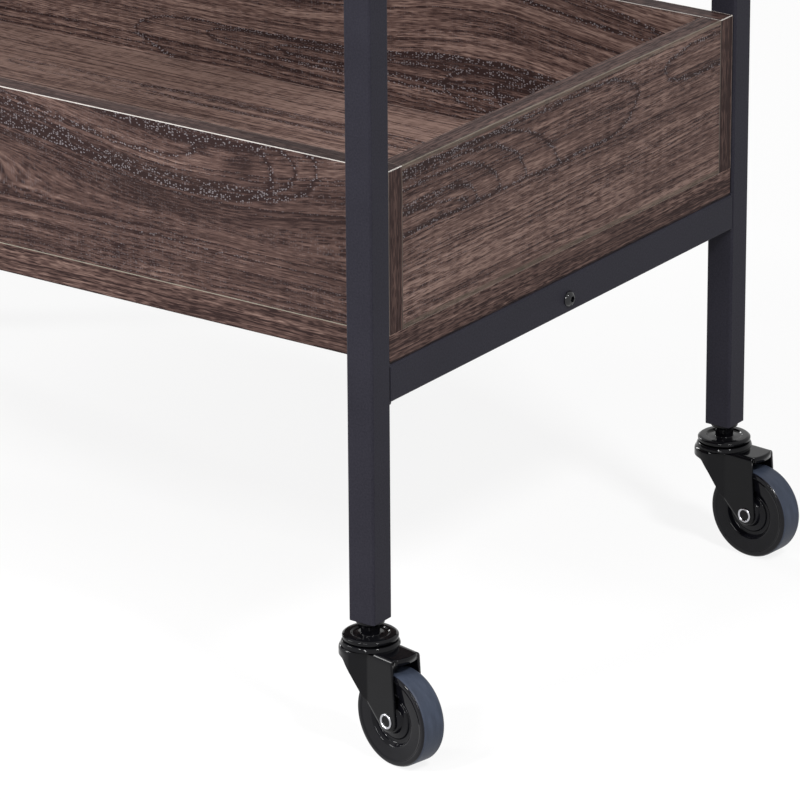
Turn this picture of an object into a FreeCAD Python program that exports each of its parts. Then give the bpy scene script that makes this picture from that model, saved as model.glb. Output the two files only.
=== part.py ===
"""Two-tier serving trolley: welded tube end frames, two deep laminated trays, four swivel casters.

Millimetres and degrees. The origin is on the floor under the middle of the trolley: +X runs along
its length, +Y across its depth from the front to the back, +Z up. Each sub-part is drawn in a frame
of its own and placed by expressions on the sheet of driving dimensions.
"""
import FreeCAD, Part

import os
import re
import Sketcher
from FreeCAD import Placement, Rotation, Vector

# Driving dimensions: name, value, meaning.
SIZES = [
    ("frame_length", 800, "length over the two end frames"),
    ("frame_depth", 440, "depth over the posts"),
    ("caster_height", 90, "floor to the underside of a post"),
    ("tube_side", 20, "width of the square tube, and of every rail"),
    ("tube_wall", 1.2, "wall of every tube"),
    ("tube_corner", 1.2, "flat across the outside corners of every tube"),
    ("rail_height", 25, "height of a side rail"),
    ("rail_rise", 145, "underside of a post to the underside of the lower side rail"),
    ("tier_spacing", 420, "lower tray to upper tray"),
    ("finger_gap", 53, "upper tray's walls to the underside of the handle rails"),
    ("stretcher_width", 15, "width of the lengthwise tube under a tray"),
    ("stretcher_height", 30, "height of the lengthwise tube under a tray"),
    ("board_thickness", 19, "tray floor"),
    ("panel_thickness", 15, "tray walls"),
    ("wall_height", 108, "tray walls, above the floor board"),
    ("tray_setback", 1.5, "tray end to the outer face of the end frame"),
    ("tray_gap", 1, "tray side to the inner face of a post"),
    ("insert_length", 28, "square end of a stem inside its post"),
    ("insert_fit", 0.1, "gap between that end and the tube's wall"),
    ("stem_diameter", 11, "round stem, which is also the fork's king pin"),
    ("stem_end", 0.8, "end of the stem below the fork's crown"),
    ("cap_level", 9.2, "post to the top of the race cap"),
    ("cap_diameter", 36.6, "race cap over its rim"),
    ("cap_clearance", 0.5, "race cap's rim to the fork's crown"),
    ("crown_level", 16, "post to the top of the fork's crown"),
    ("crown_diameter", 41, "round crown of the fork"),
    ("crown_waist", 1.5, "from the stem's axis to where the crown starts to narrow"),
    ("waist_end", 10, "from the stem's axis to where the legs run straight"),
    ("fork_plate", 2, "sheet of the fork"),
    ("fork_gap", 21, "between the fork's legs"),
    ("fork_reach", 32.5, "stem's axis to the front corner of the fork"),
    ("fork_lip_radius", 38, "curve of the crown's front edge, seen from above"),
    ("skirt_height", 8.3, "crown's top to the lower edge of its rear skirt"),
    ("skirt_knee", 5, "radius where the skirt turns into the leg"),
    ("leg_slope", 45, "slope of the leg's rear edge, in degrees"),
    ("leg_end_radius", 7.5, "rounded end of a leg about the axle"),
    ("trail", 28, "stem's axis to the axle"),
    ("axle_diameter", 8, "axle rivet"),
    ("axle_end", 1.4, "axle rivet outside a leg"),
    ("running_clearance", 0.06, "stem in the crown and axle in the wheel, on the radius"),
    ("wheel_diameter", 63, "over the tyre"),
    ("tyre_width", 19, "over the tyre's sides"),
    ("tyre_thickness", 4.2, "tread to the wheel's core"),
    ("swivel_front", -12, "rest angle of the front right caster, from +X"),
    ("swivel_back", -5, "rest angle of the back right caster, from +X"),
]
NAMES = {name for name, _, _ in SIZES}

# Levels and places that several sub-parts share, as expressions on the sheet.
TRAY_LENGTH = "(frame_length - 2 * tray_setback)"
TRAY_DEPTH = "(frame_depth - 2 * tube_side - 2 * tray_gap)"
POST_X = "(frame_length / 2 - tube_side / 2)"
POST_Y = "(frame_depth / 2 - tube_side / 2)"
RAIL_TOPS = {
    "lower": "(caster_height + rail_rise + rail_height)",
    "upper": "(caster_height + rail_rise + rail_height + tier_spacing)",
}
TOP_LEVEL = f"({RAIL_TOPS['upper']} + board_thickness + wall_height + finger_gap + tube_side)"
LEG_HALF = "(fork_gap / 2 + fork_plate)"
AXLE_DROP = "(caster_height - wheel_diameter / 2)"

CORNERS = [("left", "front"), ("right", "front"), ("left", "back"), ("right", "back")]
SIGN = {"left": -1, "right": 1, "front": -1, "back": 1}

doc = FreeCAD.newDocument("cheese_trolley")
sheet = doc.addObject("Spreadsheet::Sheet", "Dimensions")
subparts = []


def fill_sheet():
    """Writes the driving dimensions into the sheet, one aliased cell each."""
    for row, (name, size, meaning) in enumerate(SIZES, start=1):
        sheet.set(f"A{row}", meaning)
        sheet.set(f"B{row}", str(size))
        sheet.setAlias(f"B{row}", name)
    doc.recompute()


def bound(expression):
    """The expression with the name of each size pointed at its cell."""
    def cell(match):
        return f"Dimensions.{match[0]}" if match[0] in NAMES else match[0]
    return re.sub(r"[a-z_]+", cell, expression)


def value(expression):
    """What an expression on the sheet comes to now."""
    return float(sheet.evalExpression(bound(expression)))


def bind(item, path, expression):
    """Binds a property to an expression on the sheet."""
    item.setExpression(path, bound(expression))


# ---------------------------------------------------------------- sketches and features

def new_sketch(body, plane, offset="0"):
    """An empty sketch on one of the body's origin planes, moved along the plane's normal."""
    support = next(item for item in body.Origin.OriginFeatures if item.Role == plane)
    sketch = body.newObject("Sketcher::SketchObject", f"{body.Label}_sketch")
    sketch.AttachmentSupport = [(support, "")]
    sketch.MapMode = "FlatFace"
    sketch.AttachmentOffset = Placement(Vector(0, 0, value(offset)), Rotation())
    bind(sketch, "AttachmentOffset.Base.z", offset)
    return sketch


def pin_point(sketch, geometry, point, x, y):
    """Holds a point of the sketch at two expressions."""
    for kind, expression in (("DistanceX", x), ("DistanceY", y)):
        constraint = Sketcher.Constraint(kind, -1, 1, geometry, point, value(expression))
        index = sketch.addConstraint(constraint)
        bind(sketch, f"Constraints[{index}]", expression)


def arc_between(start, end, radius):
    """The minor arc from start to end: it turns left if the radius is positive, else right."""
    chord = end - start
    size = abs(radius)
    reach = (size * size - chord.Length ** 2 / 4) ** 0.5
    left = Vector(-chord.y, chord.x, 0).normalize() * (1 if radius > 0 else -1)
    centre = (start + end) / 2 + left * reach
    middle = centre - left * size
    return Part.Arc(start, middle, end)


def add_loop(sketch, corners):
    """A closed loop. A corner is (x, y), or (x, y, radius, turn) where an arc leads on from it."""
    places = [Vector(value(corner[0]), value(corner[1]), 0) for corner in corners]
    ends = []
    for number, corner in enumerate(corners):
        start = places[number]
        end = places[(number + 1) % len(corners)]
        if len(corner) == 2:
            index = sketch.addGeometry(Part.LineSegment(start, end))
            ends.append((index, 1, 2))
            continue
        radius, turn = corner[2:]
        index = sketch.addGeometry(arc_between(start, end, value(radius) * turn))
        ends.append((index, 1, 2) if turn > 0 else (index, 2, 1))
        constraint = sketch.addConstraint(Sketcher.Constraint("Radius", index, value(radius)))
        bind(sketch, f"Constraints[{constraint}]", radius)
    for number, corner in enumerate(corners):
        index, first, last = ends[number]
        after = ends[(number + 1) % len(corners)]
        sketch.addConstraint(Sketcher.Constraint("Coincident", index, last, after[0], after[1]))
        pin_point(sketch, index, first, corner[0], corner[1])


def add_rectangle(sketch, width, height, x="0", y="0"):
    """A rectangle about a centre."""
    left, right = f"({x}) - ({width}) / 2", f"({x}) + ({width}) / 2"
    low, high = f"({y}) - ({height}) / 2", f"({y}) + ({height}) / 2"
    add_loop(sketch, [(left, low), (right, low), (right, high), (left, high)])


def add_circle(sketch, x, y, diameter):
    """A circle held by its centre and diameter."""
    centre = Vector(value(x), value(y), 0)
    radius = value(diameter) / 2
    index = sketch.addGeometry(Part.Circle(centre, Vector(0, 0, 1), radius))
    pin_point(sketch, index, 3, x, y)
    constraint = sketch.addConstraint(Sketcher.Constraint("Radius", index, radius))
    bind(sketch, f"Constraints[{constraint}]", f"({diameter}) / 2")


def new_body(label):
    """A body that becomes one sub-part, or the pattern for a group of them."""
    body = doc.addObject("PartDesign::Body", label)
    body.Label = label
    return body


def pad(body, sketch, length, symmetric=False, reverse=False):
    """Pads the sketch along its normal."""
    feature = body.newObject("PartDesign::Pad", f"{body.Label}_pad")
    feature.Profile = sketch
    bind(feature, "Length", length)
    feature.SideType = "Symmetric" if symmetric else "One side"
    feature.Reversed = reverse
    doc.recompute()
    return feature


def pocket(body, sketch, depth=None, symmetric=False, reverse=False):
    """Cuts the sketch into the body, right through when no depth is given."""
    before = body.Shape.Volume
    feature = body.newObject("PartDesign::Pocket", f"{body.Label}_pocket")
    feature.Profile = sketch
    if depth is None:
        feature.Type = "ThroughAll"
    else:
        bind(feature, "Length", depth)
    feature.SideType = "Symmetric" if symmetric else "One side"
    feature.Reversed = reverse
    doc.recompute()
    if body.Shape.Volume >= before:
        raise RuntimeError(f"{feature.Label} in {body.Label} cuts nothing")
    return feature


def revolve(body, sketch, kind="PartDesign::Revolution"):
    """Turns the sketch once round its own vertical axis."""
    before = body.Shape.Volume if body.Tip else 0
    feature = body.newObject(kind, f"{body.Label}_turn")
    feature.Profile = sketch
    feature.ReferenceAxis = (sketch, ["V_Axis"])
    feature.Angle = 360
    doc.recompute()
    change = body.Shape.Volume - before
    if change * (1 if kind.endswith("Revolution") else -1) <= 0:
        raise RuntimeError(f"{feature.Label} in {body.Label} changes nothing")
    return feature


def dress(body, kind, test, size):
    """A fillet or chamfer on the edges of the body's tip that pass the test."""
    base = body.Tip
    chosen = [f"Edge{n}" for n, edge in enumerate(base.Shape.Edges, start=1) if test(edge)]
    if not chosen:
        raise RuntimeError(f"no edge of {body.Label} to dress")
    feature = body.newObject(kind, f"{body.Label}_edges")
    feature.Base = (base, chosen)
    bind(feature, "Radius" if kind.endswith("Fillet") else "Size", size)
    doc.recompute()
    return feature


def is_straight_along(edge, axis):
    """Whether an edge is a straight line along the axis."""
    if edge.Curve.TypeId != "Part::GeomLine":
        return False
    return abs(edge.tangentAt(edge.FirstParameter).dot(axis)) > 0.9999


def place(body, x="0", y="0", z="0", turn=Rotation()):
    """Puts a sub-part at three expressions, turned about its own origin."""
    body.Placement = Placement(Vector(value(x), value(y), value(z)), turn)
    for axis, expression in (("x", x), ("y", y), ("z", z)):
        bind(body, f"Placement.Base.{axis}", expression)
    subparts.append(body)


def group(label, pattern, places):
    """Several equal solids, copies of one pattern body, kept together as one sub-part."""
    copies = []
    for x, y, z, turn in places:
        copy = pattern.Shape.copy()
        copy.Placement = Placement(Vector(value(x), value(y), value(z)), turn)
        copies.append(copy)
    feature = doc.addObject("Part::Feature", label)
    feature.Label = label
    feature.Shape = Part.makeCompound(copies)
    subparts.append(feature)


ALONG_X = Rotation(Vector(0, 1, 0), 90)
ALONG_Y = Rotation(Vector(1, 0, 0), -90)
UPRIGHT = Rotation()


def about_z(degrees):
    """A turn about the vertical."""
    return Rotation(Vector(0, 0, 1), degrees)


# ---------------------------------------------------------------- steel frame

def tube(label, width, height, length, symmetric=False):
    """A rectangular tube along its own Z, with its outer corners eased."""
    body = new_body(label)
    outside = new_sketch(body, "XY_Plane")
    add_rectangle(outside, width, height)
    pad(body, outside, length, symmetric)
    along = Vector(0, 0, 1)
    dress(body, "PartDesign::Chamfer", lambda edge: is_straight_along(edge, along), "tube_corner")
    inside = new_sketch(body, "XY_Plane")
    add_rectangle(inside, f"{width} - 2 * tube_wall", f"{height} - 2 * tube_wall")
    pocket(body, inside, symmetric=True)
    return body


def mitre(body, end, up):
    """Cuts a square tube's end at 45 degrees: its -Y face stays long, its +Y face gets short."""
    over = "tube_wall"
    low = f"{end} - {up} * (tube_side + {over})"
    high = f"{end} + {up} * {over}"
    sketch = new_sketch(body, "YZ_Plane")
    add_loop(sketch, [
        (f"-(tube_side / 2 + {over})", high),
        (f"tube_side / 2 + {over}", low),
        (f"tube_side / 2 + {over}", high),
    ])
    pocket(body, sketch, symmetric=True)


def post(side, face):
    """A corner post: mitred at the top, open at the foot for its caster's stem."""
    length = f"({TOP_LEVEL} - caster_height)"
    body = tube(f"post_{face}_{side}", "tube_side", "tube_side", length)
    mitre(body, length, 1)
    turn = UPRIGHT if face == "front" else about_z(180)
    place(body, f"{SIGN[side]} * {POST_X}", f"{SIGN[face]} * {POST_Y}", "caster_height", turn)


def handle_rail(side):
    """The tube across the top of an end frame, mitred on to both posts."""
    body = tube(f"handle_rail_{side}", "tube_side", "tube_side", "frame_depth", symmetric=True)
    mitre(body, "frame_depth / 2", 1)
    mitre(body, "-frame_depth / 2", -1)
    place(body, f"{SIGN[side]} * {POST_X}", "0", f"{TOP_LEVEL} - tube_side / 2", ALONG_Y)


def side_rail(tier, side):
    """The rail between two posts that carries one end of a tray."""
    length = "(frame_depth - 2 * tube_side)"
    body = tube(f"side_rail_{tier}_{side}", "tube_side", "rail_height", length, symmetric=True)
    place(body, f"{SIGN[side]} * {POST_X}", "0", f"{RAIL_TOPS[tier]} - rail_height / 2", ALONG_Y)


def stretcher(tier):
    """The lengthwise tube that ties the end frames and carries the middle of a tray."""
    length = "(frame_length - 2 * tube_side)"
    body = tube(f"stretcher_{tier}", "stretcher_height", "stretcher_width", length, symmetric=True)
    place(body, "0", "0", f"{RAIL_TOPS[tier]} - stretcher_height / 2", ALONG_X)


# ---------------------------------------------------------------- trays

def board(label, length, width, thickness):
    """A rectangular board, its underside at z = 0."""
    body = new_body(label)
    outline = new_sketch(body, "XY_Plane")
    add_rectangle(outline, length, width)
    pad(body, outline, thickness)
    return body


def tray_floor(tier):
    """The floor board, on the side rails and the stretcher."""
    body = board(f"tray_floor_{tier}", TRAY_LENGTH, TRAY_DEPTH, "board_thickness")
    place(body, z=RAIL_TOPS[tier])


def long_panel(tier, face):
    """A front or back wall, as long as the floor board: its ends show beside the end walls."""
    body = board(f"tray_panel_{face}_{tier}", TRAY_LENGTH, "panel_thickness", "wall_height")
    place(body, "0", f"{SIGN[face]} * ({TRAY_DEPTH} / 2 - panel_thickness / 2)",
          f"{RAIL_TOPS[tier]} + board_thickness")


def end_panel(tier, side):
    """A left or right wall, standing between the long walls."""
    width = f"{TRAY_DEPTH} - 2 * panel_thickness"
    body = board(f"tray_panel_{side}_{tier}", "panel_thickness", width, "wall_height")
    place(body, f"{SIGN[side]} * ({TRAY_LENGTH} / 2 - panel_thickness / 2)", "0",
          f"{RAIL_TOPS[tier]} + board_thickness")


# ---------------------------------------------------------------- casters
# A caster is drawn about its stem: z = 0 at the underside of the post, +X the way it trails.

def caster_angle(side, face):
    """Rest angle: the two right casters are set on the sheet, the left ones point the other way."""
    if side == "right":
        return value("swivel_front" if face == "front" else "swivel_back")
    return value("swivel_back" if face == "front" else "swivel_front") + 180


def caster_trail(side, face):
    """The rest angle as an expression."""
    if side == "right":
        return "swivel_front" if face == "front" else "swivel_back"
    return "(swivel_back + 180)" if face == "front" else "(swivel_front + 180)"


def at_stem(body, side, face):
    """Places a piece drawn about the stem."""
    place(body, f"{SIGN[side]} * {POST_X}", f"{SIGN[face]} * {POST_Y}", "caster_height",
          about_z(caster_angle(side, face)))


def at_axle(body, side, face):
    """Places a piece drawn about the wheel's centre, its own Y along the axle."""
    angle = caster_trail(side, face)
    place(body, f"{SIGN[side]} * {POST_X} + trail * cos({angle})",
          f"{SIGN[face]} * {POST_Y} + trail * sin({angle})", "wheel_diameter / 2",
          about_z(caster_angle(side, face)))


def caster_stems():
    """Stems: a square end that fills the post's foot, a race cap and the pin of the fork."""
    pattern = new_body("one_caster_stem")
    side = "tube_side - 2 * tube_wall - 2 * insert_fit"
    block = new_sketch(pattern, "XY_Plane")
    add_rectangle(block, side, side)
    pad(pattern, block, "insert_length")
    pin = "stem_diameter / 2"
    rim = "cap_diameter / 2"
    cap_foot = "-(crown_level - cap_clearance)"
    foot = "-(crown_level + fork_plate + stem_end)"
    profile = new_sketch(pattern, "XZ_Plane")
    add_loop(profile, [
        ("0", foot),
        (pin, foot),
        (pin, cap_foot),
        (rim, cap_foot),
        (rim, "-cap_level"),
        (pin, "-cap_level"),
        (pin, "insert_length / 2"),
        ("0", "insert_length / 2"),
    ])
    revolve(pattern, profile)
    group("caster_stems", pattern, [
        (f"{SIGN[side]} * {POST_X}", f"{SIGN[face]} * {POST_Y}", "caster_height", UPRIGHT)
        for side, face in CORNERS
    ])


def fork_plan(inset, front):
    """Outline of the fork from above, drawn in by an inset and run out to a front edge."""
    radius = f"(crown_diameter / 2 - {inset})"
    half = f"({LEG_HALF} - {inset})"
    wide = f"sqrt({radius}^2 - crown_waist^2)"
    return [
        (front, f"-{half}", "fork_lip_radius", 1),
        (front, half),
        ("waist_end", half),
        ("crown_waist", wide, radius, 1),
        (f"-{radius}", "0", radius, 1),
        ("crown_waist", f"-{wide}"),
        ("waist_end", f"-{half}"),
    ]


def leg_cut():
    """What is cut away below the crown to leave the two legs, seen from the side."""
    end = "leg_end_radius"
    under = "-(crown_level + fork_plate)"
    skirt = "-(crown_level + skirt_height)"
    rear_x = f"(trail - {end} * sin(leg_slope))"
    rear_z = f"(-{AXLE_DROP} - {end} * cos(leg_slope))"
    knee_x = f"({rear_x} - ({skirt} - {rear_z}) / tan(leg_slope))"
    knee = "(skirt_knee * tan(leg_slope / 2))"
    over = "(crown_diameter / 2 + fork_plate)"
    below = f"(-{AXLE_DROP} - {end} - fork_plate)"
    ahead = "(fork_reach + trail)"
    return [
        (f"{knee_x} - {knee}", skirt, "skirt_knee", -1),
        (f"{knee_x} + {knee} * cos(leg_slope)", f"{skirt} - {knee} * sin(leg_slope)"),
        (rear_x, rear_z, end, 1),
        (f"trail + {end}", f"-{AXLE_DROP}"),
        ("fork_reach", under),
        (ahead, under),
        (ahead, below),
        (f"-{over}", below),
        (f"-{over}", skirt),
    ]


def caster_fork(side, face):
    """Stamped fork: a drawn round crown with a rear skirt, which narrows to two swept legs."""
    body = new_body(f"caster_{face}_{side}_fork")
    crown = "-crown_level"
    height = f"({AXLE_DROP} + leg_end_radius + fork_plate - crown_level)"
    outside = new_sketch(body, "XY_Plane", crown)
    add_loop(outside, fork_plan("0", "fork_reach"))
    pad(body, outside, height, reverse=True)
    inside = new_sketch(body, "XY_Plane", f"{crown} - fork_plate")
    add_loop(inside, fork_plan("fork_plate", "(fork_reach + trail)"))
    pocket(body, inside)
    legs = new_sketch(body, "XZ_Plane")
    add_loop(legs, leg_cut())
    pocket(body, legs, symmetric=True)
    pin_hole = new_sketch(body, "XY_Plane")
    add_circle(pin_hole, "0", "0", "stem_diameter + 2 * running_clearance")
    pocket(body, pin_hole, symmetric=True)
    axle_holes = new_sketch(body, "XZ_Plane")
    add_circle(axle_holes, "trail", f"-{AXLE_DROP}", "axle_diameter")
    pocket(body, axle_holes, symmetric=True)
    at_stem(body, side, face)


def caster_axle(side, face):
    """Axle rivet through both legs."""
    body = new_body(f"caster_{face}_{side}_axle")
    bar = new_sketch(body, "XZ_Plane")
    add_circle(bar, "0", "0", "axle_diameter")
    pad(body, bar, f"2 * ({LEG_HALF} + axle_end)", symmetric=True)
    at_axle(body, side, face)


def ring(body, bore, outside):
    """A plain ring about the axle, as wide as the tyre."""
    profile = new_sketch(body, "XY_Plane")
    half = "tyre_width / 2"
    add_loop(profile, [(bore, f"-{half}"), (outside, f"-{half}"), (outside, half), (bore, half)])
    revolve(body, profile)


def wheel_core(side, face):
    """Moulded core of the wheel, which runs on the axle."""
    body = new_body(f"caster_{face}_{side}_wheel")
    ring(body, "axle_diameter / 2 + running_clearance", "wheel_diameter / 2 - tyre_thickness")
    at_axle(body, side, face)


def tyre(side, face):
    """Rubber tyre bonded to the core."""
    body = new_body(f"caster_{face}_{side}_tyre")
    ring(body, "wheel_diameter / 2 - tyre_thickness", "wheel_diameter / 2")
    at_axle(body, side, face)


# ---------------------------------------------------------------- the whole trolley

def build():
    """Makes every sub-part."""
    fill_sheet()
    for side, face in CORNERS:
        post(side, face)
    for side in "left", "right":
        handle_rail(side)
        for tier in RAIL_TOPS:
            side_rail(tier, side)
    for tier in RAIL_TOPS:
        stretcher(tier)
        tray_floor(tier)
        for face in "front", "back":
            long_panel(tier, face)
        for side in "left", "right":
            end_panel(tier, side)
    caster_stems()
    for side, face in CORNERS:
        for piece in caster_fork, caster_axle, wheel_core, tyre:
            piece(side, face)
    doc.recompute()


def check():
    """Stops before anything is written if a feature failed or a shape isn't sound."""
    for item in doc.Objects:
        if "Invalid" in item.State or "Error" in item.State:
            raise RuntimeError(f"{item.Label} failed: {item.State}")
    for item in subparts:
        if item.Shape.isNull() or not item.Shape.isValid():
            raise RuntimeError(f"{item.Label} has no sound shape")


def write():
    """Writes each sub-part's STEP file."""
    os.makedirs("parts", exist_ok=True)
    for item in subparts:
        item.Shape.exportStep(f"parts/{item.Label}.step")


build()
check()
write()
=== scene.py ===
"""Looks of the two-tier trolley: its materials, detailed casters, fasteners, light and camera."""
import math

import bmesh
import bpy
from mathutils import Euler, Matrix, Vector


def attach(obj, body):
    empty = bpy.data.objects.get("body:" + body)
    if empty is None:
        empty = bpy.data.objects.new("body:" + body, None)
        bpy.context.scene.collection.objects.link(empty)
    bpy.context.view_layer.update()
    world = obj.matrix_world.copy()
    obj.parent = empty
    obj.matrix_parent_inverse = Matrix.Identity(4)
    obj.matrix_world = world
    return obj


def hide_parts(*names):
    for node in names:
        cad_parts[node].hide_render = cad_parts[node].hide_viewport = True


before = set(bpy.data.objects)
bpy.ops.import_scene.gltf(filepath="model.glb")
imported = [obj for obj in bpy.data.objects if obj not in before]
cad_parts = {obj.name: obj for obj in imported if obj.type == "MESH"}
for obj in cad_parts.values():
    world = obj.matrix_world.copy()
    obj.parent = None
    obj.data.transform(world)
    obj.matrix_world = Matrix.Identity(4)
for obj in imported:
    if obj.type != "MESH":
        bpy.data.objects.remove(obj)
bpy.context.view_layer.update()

MM = 0.001
CORNERS = [("front", "right"), ("back", "right"), ("back", "left"), ("front", "left")]
X, Y, Z = 0, 1, 2

# Sizes and places of the solids, in millimetres.
TUBE = 20.0
STEM_X, STEM_Y = 390.0, 210.0
POST_FOOT = 90.0
RAIL_HEIGHT = 25.0
RAIL_FEET = (235.0, 655.0)
STRETCHER_DROP = 5.0
FLOOR_BOARD, WALL = 19.0, 108.0
LONG_OUTER, LONG_INNER = 199.0, 184.0
SHORT_OUTER, SHORT_INNER = 398.5, 383.5

# Each tray's tier, the top of its floor board and how far its figure is moved.
TRAYS = (("lower", 279.0, 0.0), ("upper", 699.0, 37.0))

# The fork, from the post's foot on the stem's axis.
CROWN = -16.0
CROWN_RADIUS = 20.5
WAIST = 1.5
STRAIGHT = 10.0
LEG = 12.5
LEG_END = 7.5
PLATE = 2.0
BEND = 3.2
REACH = 32.5
SKIRT = -22.8
TRAIL = 28.0
AXLE = -58.5
REST = {
    ("front", "right"): -12.0, ("back", "right"): -5.0,
    ("back", "left"): 168.0, ("front", "left"): 175.0,
}

# The camera that the photograph's straight edges fit.
PHOTO_WIDTH = 800
FOCAL_PIXELS = 5707.05
SENSOR_WIDTH = 36.0
CAMERA_AT = (2.336585, -2.913189, 1.509358)
CAMERA_TURN, CAMERA_DOWN, CAMERA_ROLL = 35.42, 20.89, -0.35

SOFT_LIGHT = 0.32
PAPER_GLOW = 0.85
FLOOR_HALF = 14.0


def linear(*srgb):
    """Linear colour of an sRGB one given from 0 to 255."""
    return tuple((c / 255 / 12.92) if c < 10.31 else ((c / 255 + 0.055) / 1.055) ** 2.4 for c in srgb)


# ---------------------------------------------------------------- shader expressions

class Field:
    """A number that varies over a surface. It adds, multiplies and compares like a float."""

    def __init__(self, shader, socket):
        self.shader = shader
        self.socket = socket

    def __add__(self, other):
        return self.shader.math("ADD", self, other)

    def __radd__(self, other):
        return self.shader.math("ADD", other, self)

    def __sub__(self, other):
        return self.shader.math("SUBTRACT", self, other)

    def __rsub__(self, other):
        return self.shader.math("SUBTRACT", other, self)

    def __mul__(self, other):
        return self.shader.math("MULTIPLY", self, other)

    def __rmul__(self, other):
        return self.shader.math("MULTIPLY", other, self)

    def __truediv__(self, other):
        return self.shader.math("DIVIDE", self, other)

    def __gt__(self, other):
        return self.shader.math("GREATER_THAN", self, other)

    def __lt__(self, other):
        return self.shader.math("LESS_THAN", self, other)

    def __pow__(self, power):
        return self.shader.math("POWER", self, power)

    def __abs__(self):
        return self.shader.math("ABSOLUTE", self)

    def clamp(self):
        return self.shader.math("ADD", self, 0.0, clamp=True)

    def step(self, low, high):
        """0 below low, 1 above high, smooth between."""
        return self.shader.smooth(self, low, high)

    def least(self, low):
        """The number itself, or low where it is below that."""
        return self.shader.math("MAXIMUM", self, low)


class Formula:
    """Writes expressions as nodes of a tree."""

    def __init__(self, tree):
        self.tree = tree

    def node(self, kind, **settings):
        made = self.tree.nodes.new(kind)
        for key, setting in settings.items():
            setattr(made, key, setting)
        return made

    def put(self, socket, given):
        if isinstance(given, Field):
            given = given.socket
        if isinstance(given, bpy.types.NodeSocket):
            self.tree.links.new(given, socket)
        elif isinstance(given, tuple) and len(given) == 3 and socket.type == "RGBA":
            socket.default_value = (*given, 1.0)
        else:
            socket.default_value = given

    def math(self, operation, *given, clamp=False):
        made = self.node("ShaderNodeMath", operation=operation, use_clamp=clamp)
        for socket, one in zip(made.inputs, given):
            self.put(socket, one)
        return Field(self, made.outputs[0])

    def smooth(self, given, low, high):
        made = self.node("ShaderNodeMapRange", interpolation_type="SMOOTHSTEP")
        for socket, one in zip(made.inputs, (given, low, high, 0.0, 1.0)):
            self.put(socket, one)
        return Field(self, made.outputs[0])

    def vector(self, u, v, w=0.0):
        made = self.node("ShaderNodeCombineXYZ")
        for socket, one in zip(made.inputs, (u, v, w)):
            self.put(socket, one)
        return made.outputs[0]

    def noise(self, u, v, w=0.0, detail=2.0, roughness=0.5):
        """Smooth noise from about -1 to 1 with a feature size of 1."""
        made = self.node("ShaderNodeTexNoise")
        self.put(made.inputs["Vector"], self.vector(u, v, w))
        self.put(made.inputs["Scale"], 1.0)
        self.put(made.inputs["Detail"], detail)
        self.put(made.inputs["Roughness"], roughness)
        return (Field(self, made.outputs[0]) - 0.5) * 2.6

    def dots(self, u, v, share):
        """1 at scattered dots of about a quarter of a unit, which a share of the cells has."""
        made = self.node("ShaderNodeTexVoronoi", voronoi_dimensions="2D")
        self.put(made.inputs["Vector"], self.vector(u, v))
        self.put(made.inputs["Scale"], 1.0)
        split = self.node("ShaderNodeSeparateColor")
        self.put(split.inputs[0], made.outputs["Color"])
        chosen = Field(self, split.outputs[0]) < share
        return chosen * (1.0 - Field(self, made.outputs["Distance"]).step(0.18, 0.4))

    def chance(self, number):
        """A fixed random number from 0 to 1 for each whole number."""
        made = self.node("ShaderNodeTexWhiteNoise", noise_dimensions="1D")
        self.put(made.inputs["W"], number)
        return Field(self, made.outputs["Value"])

    def mix(self, share, first, second):
        """A colour between two."""
        made = self.node("ShaderNodeMix", data_type="RGBA")
        self.put(made.inputs[0], share)
        self.put(made.inputs[6], first)
        self.put(made.inputs[7], second)
        return made.outputs[2]

    def between(self, share, first, second):
        """A number between two."""
        return (second - first) * share + first

    def blend(self, share, first, second):
        """A shader between two."""
        made = self.node("ShaderNodeMixShader")
        for socket, one in zip(made.inputs, (share, first, second)):
            self.put(socket, one)
        return made.outputs[0]


class Shader(Formula):
    """A principled material whose inputs are written as expressions."""

    def __init__(self, name, metallic=0.0, specular=0.5):
        self.material = bpy.data.materials.new(name)
        self.material.use_nodes = True
        super().__init__(self.material.node_tree)
        self.surface = self.tree.nodes["Principled BSDF"]
        self.surface.inputs["Metallic"].default_value = metallic
        self.surface.inputs["Specular IOR Level"].default_value = specular

    def set(self, name, given):
        self.put(self.surface.inputs[name], given)

    def place(self):
        """Object coordinates in millimetres."""
        self.coordinates = self.node("ShaderNodeTexCoord")
        split = self.node("ShaderNodeSeparateXYZ")
        self.put(split.inputs[0], self.coordinates.outputs["Object"])
        return [Field(self, out) * 1000.0 for out in split.outputs]

    def facing(self):
        """Size of each component of the surface's direction."""
        split = self.node("ShaderNodeSeparateXYZ")
        self.put(split.inputs[0], self.coordinates.outputs["Normal"])
        return [abs(Field(self, out)) for out in split.outputs]

    def bump(self, height, depth, strength=1.0):
        """Relief from a height field, depth in millimetres."""
        made = self.node("ShaderNodeBump")
        self.put(made.inputs["Strength"], strength)
        self.put(made.inputs["Distance"], depth * MM)
        self.put(made.inputs["Height"], height)
        self.set("Normal", made.outputs[0])


# ---------------------------------------------------------------- materials

WOOD_DARK = linear(44, 32, 31)
WOOD_MIDDLE = linear(86, 67, 62)
WOOD_LIGHT = linear(134, 111, 102)
SPECK = linear(152, 146, 150)


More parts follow.
